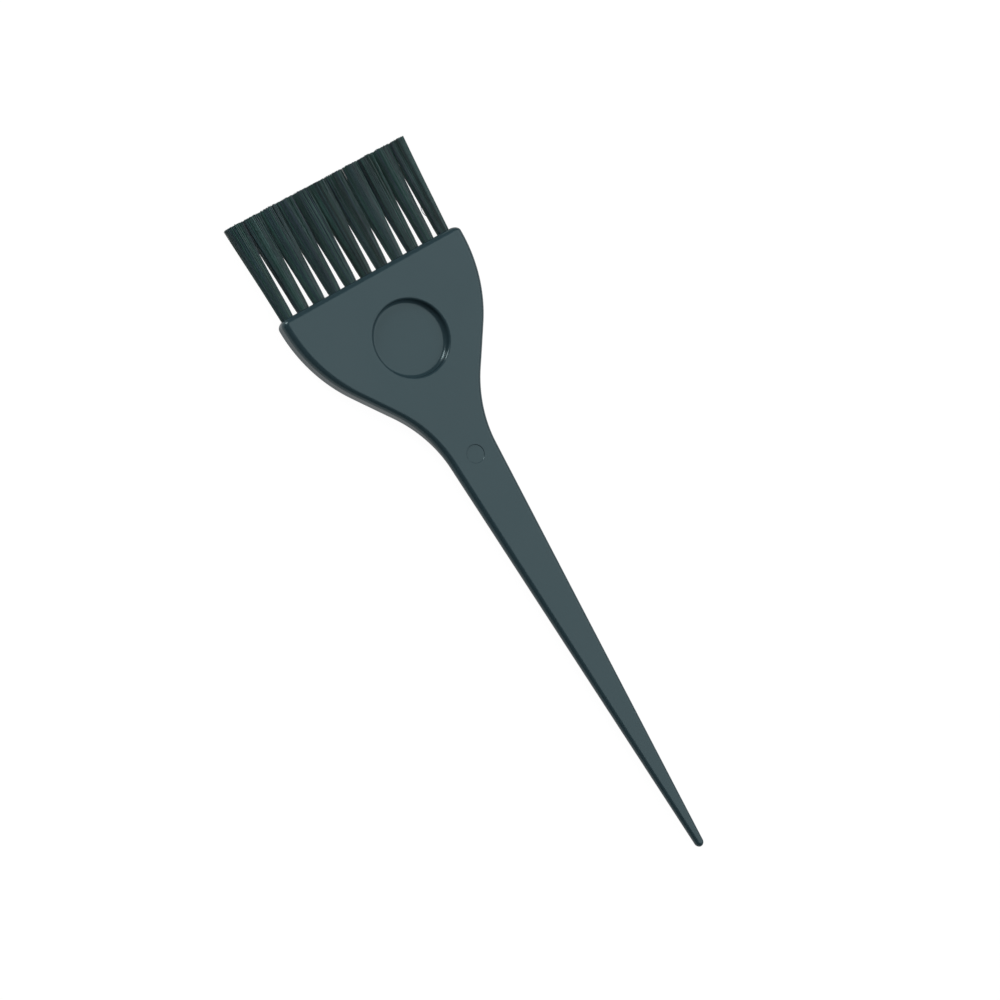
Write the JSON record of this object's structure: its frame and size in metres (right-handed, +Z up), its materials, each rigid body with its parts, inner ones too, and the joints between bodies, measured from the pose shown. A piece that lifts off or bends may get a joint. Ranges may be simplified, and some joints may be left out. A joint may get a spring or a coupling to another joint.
{
  "type": "tint brush",
  "caption": "Wide flat hair-tint brush: moulded plastic paddle handle with round thumb recesses and a long tapered tail, holding a row of dark nylon bristle tufts.",
  "frame": {"origin": "on the surface the brush lies on, under the middle of its whole length", "axes": "+Y from the tail to the bristle tips, +X across the head to the right, +Z up through the thickness"},
  "size_m": [0.0612, 0.215, 0.0065],
  "materials": {
    "handle_plastic": "satin moulded polypropylene, dark slate with a green-blue cast",
    "bristle_nylon": "fine dark nylon filaments with a soft sheen along their length",
    "anchor_wire": "flat drawn wire"
  },
  "bodies": {
    "root": {"handle": "handle_plastic", "tuft_01": "bristle_nylon", "tuft_02": "bristle_nylon", "tuft_03": "bristle_nylon", "tuft_04": "bristle_nylon", "tuft_05": "bristle_nylon", "tuft_06": "bristle_nylon", "tuft_07": "bristle_nylon", "tuft_08": "bristle_nylon", "tuft_09": "bristle_nylon", "tuft_10": "bristle_nylon", "tuft_11": "bristle_nylon", "anchor_01": "anchor_wire", "anchor_02": "anchor_wire", "anchor_03": "anchor_wire", "anchor_04": "anchor_wire", "anchor_05": "anchor_wire", "anchor_06": "anchor_wire", "anchor_07": "anchor_wire", "anchor_08": "anchor_wire", "anchor_09": "anchor_wire", "anchor_10": "anchor_wire", "anchor_11": "anchor_wire"}
  },
  "joints": []
}
